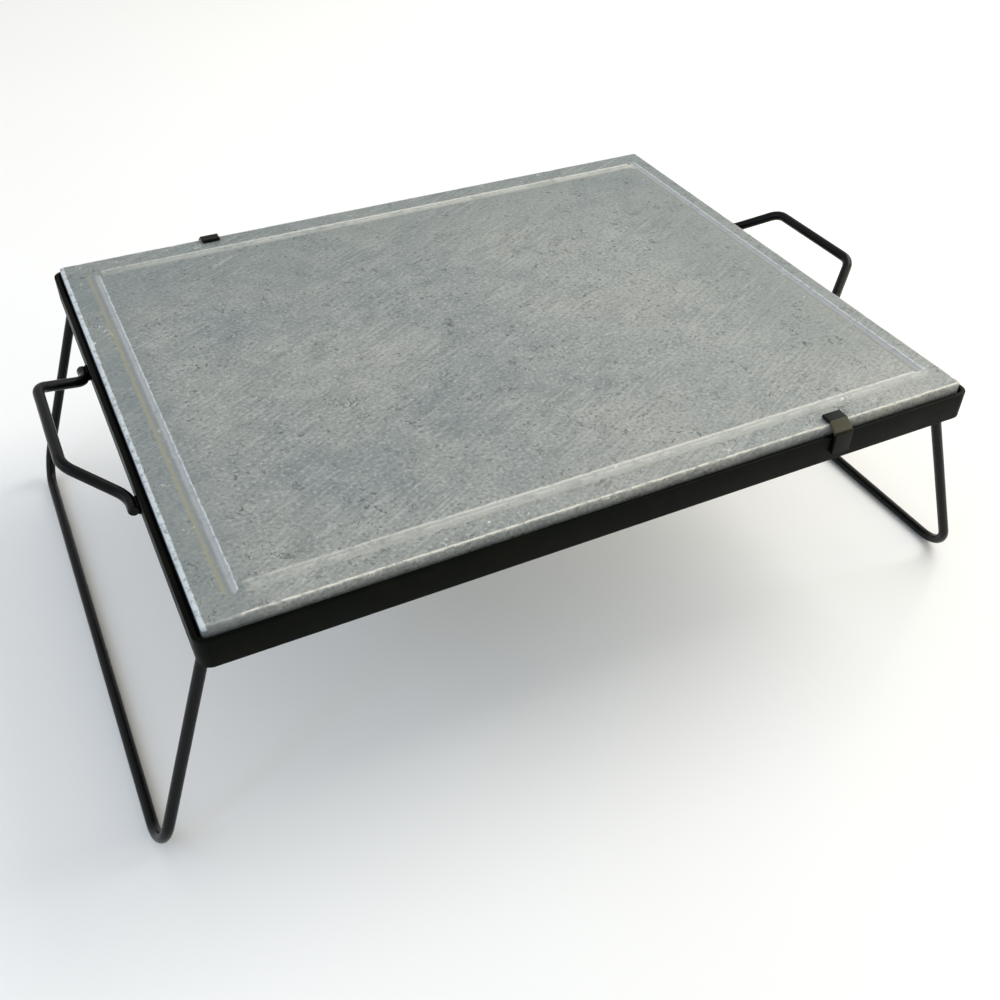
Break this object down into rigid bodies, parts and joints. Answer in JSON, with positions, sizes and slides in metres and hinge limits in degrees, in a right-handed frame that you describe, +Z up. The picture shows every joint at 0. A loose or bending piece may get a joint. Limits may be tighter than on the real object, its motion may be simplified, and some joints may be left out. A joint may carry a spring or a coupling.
{
  "type": "soapstone cooking slab on folding stand",
  "caption": "Rectangular soapstone cooking slab with edge drip grooves, held in a flat-bar steel band with carrying handles, hold-down clips and fold-under wire legs.",
  "frame": {"origin": "on the ground under the middle of the stone, legs opened", "axes": "+X along the stone's long side, +Y across it, +Z up"},
  "size_m": [0.6072, 0.4178, 0.1812],
  "materials": {
    "soapstone": "sawn and rubbed smooth, matte",
    "black_painted_steel": "brushed-on satin black paint",
    "black_painted_wire": "semi-gloss black paint",
    "black_painted_clip": "satin black paint"
  },
  "bodies": {
    "stand": {"stone_slab": "soapstone", "frame_band": "black_painted_steel", "crossbar_left": "black_painted_steel", "crossbar_right": "black_painted_steel", "end_rest_left": "black_painted_steel", "end_rest_right": "black_painted_steel", "pivot_bush_front_left": "black_painted_steel", "pivot_bush_back_left": "black_painted_steel", "pivot_bush_front_right": "black_painted_steel", "pivot_bush_back_right": "black_painted_steel", "handle_left": "black_painted_wire", "handle_right": "black_painted_wire", "clip_front": "black_painted_clip", "clip_back": "black_painted_clip"},
    "leg_left": {"leg_left": "black_painted_wire"},
    "leg_right": {"leg_right": "black_painted_wire"}
  },
  "joints": [
    {"name": "leg_left_fold", "type": "hinge", "parent": "stand", "child": "leg_left", "pos_m": [-0.2465, 0, 0.15485], "axis": [0, -1, 0], "range_deg": [0, 108]},
    {"name": "leg_right_fold", "type": "hinge", "parent": "stand", "child": "leg_right", "pos_m": [0.2465, 0, 0.15485], "axis": [0, 1, 0], "range_deg": [0, 108]}
  ]
}
